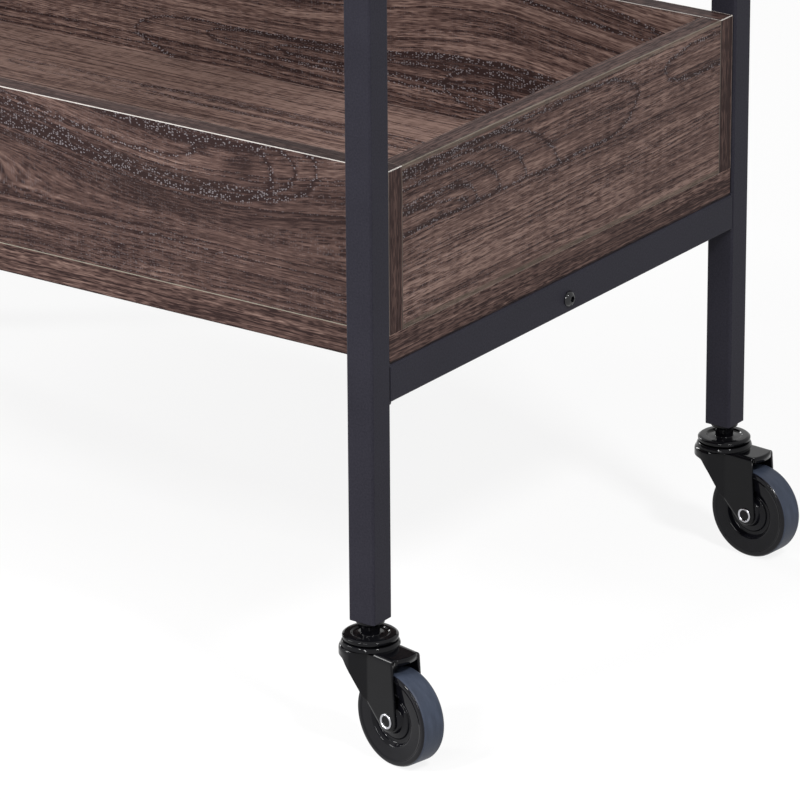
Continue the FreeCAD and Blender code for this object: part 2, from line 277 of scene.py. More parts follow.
def arch_group():
    """Node group of one pointed growth ring: the line of its rim and the darker wood inside it."""
    tree = bpy.data.node_groups.new("arch", "ShaderNodeTree")
    for name in ("along", "across", "tip", "centre", "length", "height", "whole"):
        tree.interface.new_socket(name, in_out="INPUT", socket_type="NodeSocketFloat")
    for name in ("rim", "inside"):
        tree.interface.new_socket(name, in_out="OUTPUT", socket_type="NodeSocketFloat")
    s = Formula(tree)
    given = [Field(s, socket) for socket in s.node("NodeGroupInput").outputs[:7]]
    along, across, tip, centre, length, height, whole = given
    a = ((along - (tip - length)) / length).least(0.0)
    b = (across - centre) / height
    reach = s.math("SQRT", a * a + b * b)
    slope = s.math("SQRT", (a / length) ** 2.0 + (b / height) ** 2.0).least(0.001)
    gap = (reach - 1.0) * reach / slope
    there = ((across > centre) + whole).clamp()
    output = s.node("NodeGroupOutput")
    s.put(output.inputs[0], s.math("EXPONENT", -1.0 * (gap / 1.4) ** 2.0) * there)
    s.put(output.inputs[1], gap.step(-8.0, -0.2) * (gap < 0.0) * there)
    return tree


ARCH = arch_group()


def sagging(s, u, v, bend):
    """How far the grain rises on both sides of a sag, or drops beside a hill where depth is negative."""
    at, depth, reach, low, high = bend
    sag = 1.0 - s.math("EXPONENT", -1.0 * ((u - at) / reach) ** 2.0)
    return sag * depth * v.step(low, high)


def figure(s, along, across, arches, knots, bands):
    """Rims and insides of the pointed rings, and the shade of knots and bands."""
    rim = inside = shade = 0.0
    for arch in arches:
        ring = s.node("ShaderNodeGroup", node_tree=ARCH)
        for socket, one in zip(ring.inputs, (along, across, *arch)):
            s.put(socket, one)
        rim = Field(s, ring.outputs[0]) + rim
        inside = Field(s, ring.outputs[1]) + inside
    for start, level, length, height, dark in knots:
        far = ((along - start) / length) ** 2.0 + ((across - level) / height) ** 2.0
        shade = s.math("EXPONENT", -1.0 * far) * dark + shade
    for level, height, dark in bands:
        shade = s.math("EXPONENT", -1.0 * ((across - level) / height) ** 2.0) * dark + shade
    return rim, inside, shade


def with_edge_lines(s, colour, place, patchy, edge_lines):
    """The colour with thin lines over it along edges and joints: painted highlights, painted shade and the
    dark lines of joints.
    """
    for first, at, width, second, level, height, tint, strength in edge_lines:
        mask = (abs(place[first] - at) < width) * (abs(place[second] - level) < height)
        colour = s.mix((mask * patchy * strength).clamp(), colour, linear(*tint))
    return colour


def walnut(name, grain, thin, seed, spacing=3.4, tone=0.0, contrast=1.0, edge_colour_and_shading=-0.2, end_colour_and_shading=-0.2,
           bend=None, arches=(), knots=(), bands=(), edge_lines=()):
    """Dark walnut laminate with the figure of its board.

    Grain and thin are the axes along the grain and through the board. All places are (along the
    grain, across it) in millimetres. Bend (along, depth, reach, low, high) makes the grain sag at a
    place, fully above high and not at all below low. Arches are (tip, across, length, height,
    whole): pointed growth rings that run back from their tip, or onward where length is negative;
    those whose last number is 0 have only their upper half. Knots are (along, across, length, height,
    dark), bands (across, height, dark) and seams (axis, place, width, axis, place, width, colour,
    strength).
    """
    s = Shader(name, specular=0.06)
    p = s.place()
    n = s.facing()
    other = 3 - grain - thin
    on_face = n[thin] > 0.5
    on_end = n[grain] > 0.5
    u = s.between(on_face, p[grain] + p[other], p[grain])
    v = s.between(on_face, p[thin], p[other])
    if bend is not None:
        v = v - sagging(s, u, v, bend) * on_face

    along = u + s.noise(u * 0.03, v * 0.06, seed + 7.3, detail=4.0, roughness=0.65) * 6.0
    across = v + s.noise(u * 0.02, v * 0.03, seed, detail=4.0, roughness=0.6) * 2.4
    ring = across / spacing + s.noise(across * 0.05, u * 0.002, seed + 3.1, detail=1.0) * 1.5
    late = s.math("FRACT", ring)
    marked = s.chance(s.math("FLOOR", ring) + seed).step(0.35, 0.8)
    line = late.step(0.6, 0.95) * (1.0 - late.step(0.97, 1.0))
    border = late.step(0.75, 0.93) + (1.0 - late.step(0.0, 0.15))
    rim, inside, shade = figure(s, along, across, arches, knots, bands)
    broken = s.noise(u * 0.1, v * 0.1, seed + 13.0).step(-1.0, 0.0)

    broad = s.noise(u * 0.0035, v * 0.05, seed + 11.0, detail=3.0)
    middle = s.noise(u * 0.012, v * 0.3, seed + 5.0, detail=3.0, roughness=0.6)
    fine = s.noise(u * 0.05, v * 0.8, seed + 2.0, detail=3.0, roughness=0.7)
    hair = s.noise(u * 0.1, v * 1.3, seed + 9.0, detail=1.0)
    porous = s.noise(u * 0.008, v * 0.07, seed + 4.0, detail=2.0).step(-0.6, 0.7)
    dashes = s.dots(u / 9.0, v / 1.35, 0.55) + s.dots(u / 15.0 + 17.0, v / 1.8 + 5.0, 0.5)
    pore = (dashes * (porous * 0.7 + 0.3)).clamp()
    speckled = (rim * broken * 1.3 + border * marked * 0.3 + porous * 0.25) * on_face
    flecks = s.dots(u / 2.4, v / 1.4, 0.35) + s.dots(u / 1.7 + 31.0, v / 1.6, 0.3)
    speck = (flecks * speckled.clamp()).clamp()

    # tone makes the whole board lighter or darker: painted light and shade for how much light each board
    # gets, so the floor board and the back panel are made lighter as if lit more from above
    light = 0.55 + (broad * 0.22 + middle * 0.34 + fine * 0.34 + hair * 0.24) * contrast + tone
    light = light - (late * marked * 0.14 + line * (marked * 0.2 + 0.1)) * contrast - pore * 0.3 * contrast
    light = light - (rim * broken * 0.38 + inside * 0.2 + shade) * on_face
    # Edges and end faces get their own lightness: partly the darker colour of the board's edges, partly
    # painted light and shade for the way those faces turn to the light.
    light = light + (1.0 - on_face - on_end) * edge_colour_and_shading + on_end * end_colour_and_shading
    colour = s.mix((light * 2.0).clamp(), WOOD_DARK, WOOD_MIDDLE)
    colour = s.mix((light * 2.0 - 1.0).clamp(), colour, WOOD_LIGHT)
    colour = s.mix((speck * 0.45).clamp(), colour, SPECK)
    patchy = 0.85 + s.noise(u * 0.03, 0.0, seed + 6.0, detail=3.0) * 0.3
    s.set("Base Color", with_edge_lines(s, colour, p, patchy, edge_lines))
    s.set("Roughness", (0.5 + fine * 0.05 + pore * 0.12).clamp())
    s.bump(1.0 - pore * 0.6 - line * 0.3 + speck * 0.4, 0.14, 0.6)
    return s.material


def powder_coat():
    """Satin blue-black powder coat with its faint orange peel."""
    s = Shader("powder_coat", specular=0.06)
    x, y, z = s.place()
    cloud = s.noise(x * 0.02 + y * 0.013, z * 0.02, 0.0, detail=3.0)
    grit = s.noise(x * 0.8, y * 0.8, z * 0.8, detail=2.0, roughness=0.7)
    light = (0.5 + cloud * 0.25 + grit * 0.6).clamp()
    s.set("Base Color", s.mix(light, linear(31, 30, 37), linear(47, 46, 54)))
    s.set("Roughness", (0.47 + cloud * 0.05).clamp())
    s.bump(grit, 0.05, 0.5)
    return s.material


def gloss_black(name, low, high, roughness=0.08, specular=0.16):
    """Smooth black paint or plastic, a little uneven in colour and gloss."""
    s = Shader(name, specular=specular)
    x, y, z = s.place()
    cloud = s.noise(x * 0.12, y * 0.12, z * 0.12, detail=3.0)
    s.set("Base Color", s.mix((0.5 + cloud * 0.4).clamp(), low, high))
    s.set("Roughness", (roughness + cloud * 0.02).clamp())
    return s.material


def slate_rubber():
    """Tyre: slate-grey running band with a little dust, and smooth glossy black sides."""
    s = Shader("slate_rubber", specular=0.2)
    x, y, z = s.place()
    out = s.math("SQRT", x * x + y * y)
    band = out.step(30.9, 31.25)
    cloud = s.noise(x * 0.07, y * 0.07, z * 0.25, detail=3.0)
    dust = s.noise(x * 0.3, y * 0.3, z * 0.9, detail=3.0, roughness=0.7)
    slate = s.mix((0.5 + cloud * 0.5).clamp(), linear(40, 46, 58), linear(62, 69, 84))
    slate = s.mix((dust - 0.15).step(0.0, 0.7) * (cloud.step(-0.3, 0.6) * 0.5), slate, linear(112, 112, 122))
    s.set("Base Color", s.mix(band, linear(15, 15, 19), slate))
    s.set("Roughness", s.between(band, 0.08, 0.5 + cloud * 0.06))
    s.bump(band * (s.math("SINE", z * 3.1) * 0.2 + cloud * 0.3), 0.05, 0.5)
    return s.material


def bright_metal(name, tone, roughness):
    """Plated steel with fine turning marks, with painted shade inside the hollow."""
    s = Shader(name, metallic=1.0)
    x, y, z = s.place()
    out = s.math("SQRT", x * x + y * y)
    marks = s.noise(out * 3.0, z * 3.0, 0.0, detail=2.0)
    plated = s.mix((0.5 + marks * 0.3).clamp(), linear(*[c * 0.8 for c in tone]), linear(*tone))
    # Painted shade inside the rivet's hollow, within a radius of about 3.2 to 3.7 mm.
    s.set("Base Color", s.mix(out.step(3.2, 3.7), linear(26, 26, 30), plated))
    s.set("Roughness", (roughness + marks * 0.06).clamp())
    return s.material


# ---------------------------------------------------------------- boards

# The white, pale, ochre and dull lines are painted highlights along the boards' edges; the brown and floor
# lines mark joints.
WHITE_HIGHLIGHT = (216, 210, 204)
PALE_HIGHLIGHT = (146, 136, 128)
OCHRE_HIGHLIGHT = (158, 155, 140)
BROWN_SEAM = (104, 96, 88)
DULL_HIGHLIGHT = (138, 132, 120)
FLOOR_SEAM = (150, 130, 122)
# Painted shading: greenish bands along the top and foot of a short panel's outer face.
GREEN_EDGE_SHADING = (96, 90, 80)
FOOT_EDGE_SHADING = (80, 74, 64)
# Painted shade along the floor board's lower edges, darkest where it rests on the rails.
FRONT_FOOT_SHADE = (30, 26, 26)
CONTACT_SHADOW = (20, 18, 20)


def moved(places, along, across):
    """Arches or knots, moved along the grain and across it."""
    return [(place[0] + along, place[1] + across, *place[2:]) for place in places]


def raised(bands, across):
    """Bands, moved across the grain."""
    return [(level + across, height, dark) for level, height, dark in bands]


def front_walnut(tier, base, shift):
    """Front panel: rings round a knot near the right end, over a long sag of the grain."""
    return walnut(
        f"walnut_front_{tier}", X, Y, 3.0 + shift, tone=-0.12, edge_colour_and_shading=-0.22, end_colour_and_shading=-0.11,
        contrast=1.2, bend=(250 - 5 * shift, 32, 165, base + 34, base + 66),
        arches=moved([
            (309, 84, 22, 18, 1.0), (328, 88, 24, 15, 1.0), (345, 88, 40, 20, 1.0), (248, 96, 60, 12, 1.0),
        ], -6 * shift, base) + moved([(150, 74, 110, 7, 1.0)], -4 * shift, base),
        knots=moved([
            (285, 90, 12, 6.5, 0.42), (285, 90, 24, 12, 0.08), (253, 96, 4.5, 2.6, 0.45),
        ], -6 * shift, base),
        bands=raised([
            (66, 1.3, 0.22), (56, 9.0, 0.2), (84, 9.0, -0.1), (36, 1.6, 0.2), (19, 1.4, 0.2),
            (44, 4.0, -0.05),
        ], base),
        edge_lines=long_edge_lines(-1, base, PALE_HIGHLIGHT))


def back_walnut(tier, base, shift):
    """Back panel: a hill in the grain and rings that run on to the right."""
    return walnut(
        # painted light: the back panel's tone is raised for light from above that it lacks
        f"walnut_back_{tier}", X, Y, 21.0 + shift, spacing=4.4, tone=0.11, edge_colour_and_shading=-0.43,
        end_colour_and_shading=-0.46, contrast=1.5, bend=(210 + 3 * shift, -20, 110, base + 10, base + 50),
        arches=moved([
            (-97, 21, -70, 24, 1.0), (-32, 31, -60, 14, 1.0), (28, 30, -40, 7, 1.0),
            (172, 24, -44, 15, 1.0), (216, 25, -20, 9, 1.0), (353, 104, 60, 8, 1.0),
        ], 3 * shift, base),
        knots=moved([
            (225, 25, 7, 4, 0.28), (43, 26, 5, 2.6, 0.45), (26, 12, 5, 3, 0.35),
        ], 3 * shift, base),
        bands=raised([
            (57, 1.0, 0.3), (30, 24.0, 0.07), (66, 1.8, 0.15), (75, 2.2, 0.2), (84, 1.8, 0.18),
            (94, 2.0, 0.16),
        ], base),
        edge_lines=long_edge_lines(1, base, WHITE_HIGHLIGHT))


def end_walnut(face, side, tier, base, shift):
    """Short panel: nested half rings on a flat line."""
    return walnut(
        f"walnut_{face}_{tier}", Y, X, 48.0 + shift + side, spacing=3.1, tone=0.12, edge_colour_and_shading=-0.4,
        end_colour_and_shading=-0.2, contrast=1.35,
        arches=moved([
            (-103, 62, 30, 18, 0.0), (-78, 62, 55, 30, 0.0), (-47, 62, 75, 36, 0.0),
            (-11, 62, 105, 41, 0.0), (82, 82, 46, 20, 1.0), (116, 90, -40, 11, 1.0),
            (-114, 64, 90, 12, 0.0),
        ], shift, base),
        knots=moved([(60, 80, 12, 5, 0.1)], shift, base),
        bands=raised([(62, 1.2, 0.14), (82, 18.0, 0.09), (30, 1.4, 0.1), (36, 9.0, -0.08)], base),
        edge_lines=short_edge_lines(side, base))


def floor_walnut(tier, base, shift):
    """Floor board: a few long, faint rings."""
    return walnut(
        # painted light: the floor board's tone is raised as if lit from above
        f"walnut_floor_{tier}", X, Z, 71.0 + shift, spacing=4.0, tone=0.34, contrast=1.6,
        edge_colour_and_shading=-0.52, end_colour_and_shading=-0.46,
        arches=moved([
            (-158, 115, -60, 7, 1.0), (-44, 119, -70, 9, 1.0), (-210, 60, -90, 14, 1.0),
        ], shift, 0) + moved([(180, 20, 120, 16, 1.0)], -shift, 0),
        bands=[(90, 10.0, 0.08), (150, 16.0, -0.08)], edge_lines=floor_edge_lines(base))


def long_edge_lines(side, base, inner_highlight):
    """Painted highlights along the edges of a front or back panel, and the dark line of its joint with the
    short panels.
    """
    top = base + WALL
    outer, inner = side * LONG_OUTER, side * LONG_INNER
    edge_lines = [
        (Y, outer, 0.5, Z, top, 0.5, WHITE_HIGHLIGHT, 0.9),
        (Y, inner, 0.4, Z, top, 0.4, inner_highlight, 0.7),
        (Y, outer, 0.5, Z, base, 0.6, OCHRE_HIGHLIGHT, 0.75),
    ]
    for end in (SHORT_OUTER, -SHORT_OUTER):
        edge_lines += [
            (X, end, 0.6, Z, top, 0.6, WHITE_HIGHLIGHT, 0.75),
            (X, end, 0.5, Y, inner, 0.7, BROWN_SEAM, 0.8),
            (X, end, 0.5, Y, outer, 0.5, PALE_HIGHLIGHT, 0.5),
        ]
    return edge_lines


def short_edge_lines(side, base):
    """Painted greenish shading along the top and foot of a short panel's outer face, with painted highlights
    on its edge lines.
    """
    top = base + WALL
    outer, inner = side * SHORT_OUTER, side * SHORT_INNER
    return [
        (X, outer, 1.0, Z, top, 2.8, GREEN_EDGE_SHADING, 0.5),
        (X, outer, 0.5, Z, top, 0.5, DULL_HIGHLIGHT, 0.5),
        (X, inner, 0.4, Z, top, 0.4, PALE_HIGHLIGHT, 0.3),
        (X, outer, 1.0, Z, base, 3.4, FOOT_EDGE_SHADING, 0.6),
        (X, outer, 0.5, Z, base, 0.45, PALE_HIGHLIGHT, 0.35),
    ]


def floor_edge_lines(base):
    """Joint of the floor board with the back panel, and painted shade along its lower edges, a painted
    contact shadow where it rests on the rails.
    """
    foot = base - FLOOR_BOARD
    return [
        (Y, LONG_INNER, 0.9, Z, base, 0.8, FLOOR_SEAM, 0.6),
        (Y, -LONG_OUTER, 0.5, Z, foot, 0.6, FRONT_FOOT_SHADE, 0.7),
        (X, SHORT_OUTER, 0.5, Z, foot, 1.6, CONTACT_SHADOW, 0.9),
        (X, -SHORT_OUTER, 0.5, Z, foot, 1.6, CONTACT_SHADOW, 0.9),
    ]


def board_materials():
    """One walnut for each board, by the name of its node."""
    made = {}
    for tier, base, shift in TRAYS:
        made[f"tray_panel_front_{tier}"] = front_walnut(tier, base, shift)
        made[f"tray_panel_back_{tier}"] = back_walnut(tier, base, shift)
        for face, side in (("right", 1), ("left", -1)):
            made[f"tray_panel_{face}_{tier}"] = end_walnut(face, side, tier, base, shift)
        made[f"tray_floor_{tier}"] = floor_walnut(tier, base, shift)
    return made


# ---------------------------------------------------------------- mesh helpers

def rounded(corners, steps=4):
    """A line of (x, y[, radius]) corners with the given ones rounded."""
    line = []
    for index, corner in enumerate(corners):
        here = Vector(corner[:2])
        radius = corner[2] if len(corner) > 2 else 0.0
        if not radius:
            line.append(tuple(here))
            continue
        back = Vector(corners[index - 1][:2]) - here
        ahead = Vector(corners[(index + 1) % len(corners)][:2]) - here
        half = back.angle(ahead) / 2
        run = min(radius / math.tan(half), back.length * 0.49, ahead.length * 0.49)
        radius = run * math.tan(half)
        centre = here + (back.normalized() + ahead.normalized()).normalized() * (radius / math.sin(half))
        first = here + back.normalized() * run - centre
        last = here + ahead.normalized() * run - centre
        turn = first.angle_signed(last)
        for number in range(steps + 1):
            line.append(tuple(centre + Matrix.Rotation(-turn * number / steps, 2) @ first))
    return line


def finish_mesh(name, mesh_maker, material, body, matrix=None, sharp=35, replaces=()):
    """An object with the mesh that mesh_maker fills, in place on its body."""
    mesh = bpy.data.meshes.new(name)
    bm = bmesh.new()
    mesh_maker(bm)
    bmesh.ops.remove_doubles(bm, verts=bm.verts, dist=1e-6)
    bmesh.ops.recalc_face_normals(bm, faces=bm.faces)
    bm.to_mesh(mesh)
    bm.free()
    mesh.shade_smooth()
    mesh.set_sharp_from_angle(angle=math.radians(sharp))
    mesh.materials.append(material)
    made = bpy.data.objects.new(name, mesh)
    bpy.context.scene.collection.objects.link(made)
    if matrix is not None:
        made.matrix_world = matrix
    bpy.context.view_layer.update()
    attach(made, body)
    if replaces:
        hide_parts(*replaces)
    return made


def lathe(bm, profile, matrix=Matrix(), segments=96, shape=None):
    """Turns a profile of (radius, height) in millimetres about Z. shape alters a radius by angle."""
    rings = []
    for index, (radius, height) in enumerate(profile):
        ring = []
        for number in range(segments):
            angle = 2 * math.pi * number / segments
            reach = shape(index, radius, angle) if shape else radius
            spot = Vector((reach * math.cos(angle), reach * math.sin(angle), height)) * MM
            ring.append(bm.verts.new(matrix @ spot))
        rings.append(ring)
    for low, high in zip(rings, rings[1:]):
        for number in range(segments):
            after = (number + 1) % segments
            bm.faces.new((low[number], low[after], high[after], high[number]))


def sweep(bm, path, radius):
    """A round bead along a path of points in metres."""
    sides = 10
    rings = []
    for index, spot in enumerate(path):
        before = path[max(index - 1, 0)]
        after = path[min(index + 1, len(path) - 1)]
        turn = (after - before).to_track_quat("Z", "Y").to_matrix()
        rings.append([
            bm.verts.new(spot + turn @ Vector((math.cos(a), math.sin(a), 0)) * radius)
            for a in (2 * math.pi * k / sides for k in range(sides))
        ])
    for low, high in zip(rings, rings[1:]):
        for k in range(sides):
            bm.faces.new((low[k], low[(k + 1) % sides], high[(k + 1) % sides], high[k]))
    bm.faces.new(rings[0])
    bm.faces.new(list(reversed(rings[-1])))


# ---------------------------------------------------------------- the pieces

MATERIALS = {
    "steel": powder_coat(),
    "caster": gloss_black("caster_black", linear(7, 7, 9), linear(13, 13, 16)),
    "core": gloss_black("core_black", linear(10, 10, 13), linear(18, 18, 23)),
    "bolt": gloss_black("bolt_black", linear(12, 12, 14), linear(22, 22, 26), 0.1, specular=0.4),
    "tyre": slate_rubber(),
    "bright": bright_metal("plated_steel", (205, 205, 210), 0.24),
}


def dress_solids():
    """Gives the CAD solids that stay their materials and eased edges."""
    boards = board_materials()
    for name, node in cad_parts.items():
        if name in boards:
            material, width = boards[name], 0.35
        elif name.startswith(("post", "handle", "side_rail", "stretcher")):
            material, width = MATERIALS["steel"], 0.55
        else:
            continue
        node.data.materials.clear()
        node.data.materials.append(material)
        weld = node.modifiers.new("weld", "WELD")
        weld.merge_threshold = 1e-5
        ease = node.modifiers.new("ease", "BEVEL")
        ease.width = width * MM
        ease.segments = 3
        ease.limit_method = "ANGLE"
        ease.angle_limit = math.radians(30)


def stem_frame(face, side):
    """Where a caster's stem is, turned the way it trails."""
    x = STEM_X * (1 if side == "right" else -1)
    y = STEM_Y * (1 if face == "back" else -1)
    spot = Vector((x, y, POST_FOOT)) * MM
    return Matrix.Translation(spot) @ Matrix.Rotation(math.radians(REST[(face, side)]), 4, "Z")


def stems(bm):
    """Collars, necks, race caps and pins of the four stems."""
    profile = rounded([
        (0, 6), (8.4, 6), (8.4, 0.0), (9.4, 0.0), (9.4, -1.9, 0.8), (7.4, -2.6, 0.5), (6.2, -3.6, 0.8),
        (6.2, -9.9, 0.5), (11.6, -10.2, 0.8), (12.6, -8.9, 0.5), (16.6, -9.1, 1.2), (18.2, -10.2, 0.8),
        (18.2, -12.2, 0.9), (16.0, -13.0, 0.4), (14.6, -13.2), (14.6, -15.4), (5.5, -15.4),
        (5.5, -18.3), (7.2, -18.3, 0.5), (6.8, -20.2, 0.9), (0, -20.6),
    ])
    for face, side in CORNERS:
        lathe(bm, profile, stem_frame(face, side))


def plan(length):
    """A spot on the fork's outline and its outward direction, by length from its rear middle."""
    tangent = math.atan2(math.sqrt(CROWN_RADIUS ** 2 - WAIST ** 2), WAIST)
    arc = CROWN_RADIUS * (math.pi - tangent)
    start = Vector((math.cos(tangent), math.sin(tangent))) * CROWN_RADIUS
    end = Vector((STRAIGHT, LEG))
    slant = (end - start).length
    if length <= arc:
        angle = math.pi - length / CROWN_RADIUS
        out = Vector((math.cos(angle), math.sin(angle)))
        return out * CROWN_RADIUS, out
    if length <= arc + slant:
        share = (length - arc) / slant
        run = (end - start).normalized()
        out = Vector((-run.y, run.x))
        first = Vector((math.cos(tangent), math.sin(tangent)))
        return start.lerp(end, share), first.lerp(out, min(1.0, share * 3)).normalized()
    return end + Vector((length - arc - slant, 0)), Vector((0, 1))


def length_at(x):
    """Length along the outline at which it has that x."""
    low, high = 0.0, 80.0
    for _ in range(40):
        middle = (low + high) / 2
        if plan(middle)[0].x < x:
            low = middle
        else:
            high = middle
    return low


def fork_edge():
    """Lower edge of the fork's side as (length along the outline, height), from its rear middle."""
    slope, steps = math.radians(47), 12
    rear = (TRAIL - LEG_END * math.sin(slope), AXLE - LEG_END * math.cos(slope))
    side = rounded([
        (-CROWN_RADIUS, SKIRT), (-5.0, SKIRT, 5.0), (1.5, -30.5, 2.5), (8.0, -48.0, 4.0), rear,
    ], 6)
    for number in range(1, steps + 1):
        angle = -math.pi / 2 - slope + (math.pi / 2 + slope) * number / steps
        side.append((TRAIL + LEG_END * math.cos(angle), AXLE + LEG_END * math.sin(angle)))
    return [
        Vector((length_at(x) if x < STRAIGHT else length_at(STRAIGHT) + x - STRAIGHT, z)) for x, z in side
    ]


def fork_side(bm, mirror):
    """One side of the fork with its bend, as columns of points from the crown down to the edge."""
    columns, rows, turns = 96, 22, 5
    edge = fork_edge()
    runs = [0.0]
    for first, second in zip(edge, edge[1:]):
        runs.append(runs[-1] + (second - first).length)
    last = length_at(STRAIGHT) + REACH - STRAIGHT
    upright = length_at(STRAIGHT) + 12
    upright_run = next(run for spot, run in zip(edge, runs) if spot.x > upright)
    grid = []
    for column in range(columns + 1):
        at = runs[-1] * (column / columns)
        index = max(i for i in range(len(runs) - 1) if runs[i] <= at + 1e-9)
        bottom = edge[index].lerp(edge[index + 1], (at - runs[index]) / (runs[index + 1] - runs[index]))
        top = Vector((min(bottom.x, upright), CROWN - BEND))
        if at > upright_run:
            top.x = upright + (last - upright) * (at - upright_run) / (runs[-1] - upright_run)
        line = []
        spot, out = plan(top.x)
        for step in range(turns):
            turn = math.pi / 2 * (1 - step / turns)
            x, y = spot - out * BEND * (1 - math.cos(turn))
            line.append((x, y, CROWN - BEND * (1 - math.sin(turn))))
        for row in range(rows + 1):
            here = top.lerp(bottom, row / rows)
            x, y = plan(here.x)[0]
            line.append((x, y, here.y))
        grid.append([bm.verts.new(Vector((x, y * mirror, z)) * MM) for x, y, z in line])
    for low, high in zip(grid, grid[1:]):
        for k in range(len(low) - 1):
            bm.faces.new((low[k], low[k + 1], high[k + 1], high[k]))
    return grid


def fork(bm):
    """The fork's outer skin: two sides, the crown between them and its front lip."""
    across = 12
    crown = []
    for left, right in zip(fork_side(bm, 1), fork_side(bm, -1)):
        first, second = left[0].co, right[0].co
        bulge = 2.1 * max(0.0, (first.x / MM - 22) / 10.5) ** 2
        line = [left[0]]
        for k in range(1, across):
            spot = first.lerp(second, k / across)
            spot.x += bulge * (1 - (2 * k / across - 1) ** 2) * MM
            line.append(bm.verts.new(spot))
        crown.append(line + [right[0]])
    front = crown[-1]
    for ahead, down in ((0.5, 0.15), (0.9, 0.5), (1.1, 1.0), (1.15, 4.0)):
        further = Vector((ahead, 0, -down)) * MM
        crown.append([bm.verts.new(vertex.co + further) for vertex in front])
    for low, high in zip(crown, crown[1:]):
        for k in range(across):
            bm.faces.new((low[k], low[k + 1], high[k + 1], high[k]))


def race(bm):
    """Raised race of the fork, round the cap's foot."""
    lathe(bm, rounded([(15.1, -16.2), (15.1, -14.3, 0.3), (16.4, -13.5, 0.5), (18.2, -13.6, 0.9),
                       (18.9, -15.0, 0.9), (19.3, -16.2)]))


def axle(bm):
    """Tubular axle rivet with a rolled head at each end."""
    half = rounded([
        (0, 0), (4.0, 0), (4.0, 12.5), (5.2, 12.6), (5.1, 13.4, 0.4), (4.4, 13.9, 0.4),
        (3.7, 13.2, 0.3), (3.5, 10.8), (0, 10.8),
    ])
    lathe(bm, half, segments=64)
    lathe(bm, [(radius, -height) for radius, height in half], segments=64)


def mirrored(half):
    """A profile and its mirror image."""
    return half + [(corner[0], -corner[1], *corner[2:]) for corner in reversed(half)]


def core(bm):
    """Wheel core: hub, dished web and broad rim."""
    half = [(4.06, 0), (4.06, 10.2), (8.2, 10.2, 1.2), (9.6, 6.9, 1.2), (13.2, 6.4, 0.9), (14.0, 5.0, 0.9),
            (16.4, 5.0, 1.4), (18.6, 8.5, 1.6), (26.6, 8.9, 0.6), (27.6, 9.2)]
    lathe(bm, rounded(mirrored(half)), segments=128)


def tread(bm):
    """Tyre with rounded shoulders and a groove at the core."""
    half = [(27.5, 9.0), (28.2, 9.4, 0.3), (30.6, 9.4, 1.9), (31.5, 7.4, 1.2)]
    lathe(bm, rounded(mirrored(half)), segments=128)


def bolt_head(bm, matrix):
    """Button head with a hexagon socket."""
    profile = rounded([(5.25, 0), (5.25, 0.7, 0.3), (4.6, 2.1, 1.2), (3.0, 3.1, 1.2), (2.4, 3.3)]) + [
        (2.31, 3.25), (2.3, 1.1), (1.2, 1.0), (0.02, 1.0)]
    hexagon = len(profile) - 4

    def shape(index, radius, angle):
        if index < hexagon:
            return radius
        flat = (angle + math.pi / 6) % (math.pi / 3) - math.pi / 6
        return radius * math.cos(math.pi / 6) / math.cos(flat)

    lathe(bm, profile, matrix, 72, shape)


def bolts(bm):
    """The four bolts through the side rails into the lengthwise tubes."""
    rise, out = 10.0, STEM_X + TUBE / 2 - 0.1
    for foot in RAIL_FEET:
        for side in (1, -1):
            turn = Matrix.Rotation(math.radians(90 * side), 4, "Y")
            bolt_head(bm, Matrix.Translation(Vector((side * out, 0, foot + rise)) * MM) @ turn)


def tray_screws(bm):
    """Small screw heads under the rails and the lengthwise tubes, which hold the floor boards."""
    flip = Matrix.Rotation(math.pi, 4, "X") @ Matrix.Scale(0.72, 4)
    spots = [(side * STEM_X, y, foot) for foot in RAIL_FEET for side in (1, -1) for y in (-120, 120)]
    spots += [(x, 0, foot - STRETCHER_DROP) for foot in RAIL_FEET for x in (-240, 0, 240)]
    for x, y, foot in spots:
        bolt_head(bm, Matrix.Translation(Vector((x, y, foot + 0.1)) * MM) @ flip)


def welds(bm):
    """Weld beads where the side rails meet the posts, left off the ground outer face."""
    steps, radius = 8, 1.15
    outer, inner = STEM_X + TUBE / 2 - 0.6, STEM_X - TUBE / 2
    for foot in RAIL_FEET:
        top = foot + RAIL_HEIGHT
        for side in (1, -1):
            for face in (1, -1):
                y = face * (STEM_Y - TUBE / 2)
                corners = [
                    Vector((side * x, y, z)) * MM
                    for x, z in ((outer, foot), (inner, foot), (inner, top), (outer, top))
                ]
                path = []
                for first, second in zip(corners, corners[1:]):
                    path += [first.lerp(second, step / steps) for step in range(steps)]
                sweep(bm, path + [corners[-1]], radius * MM)


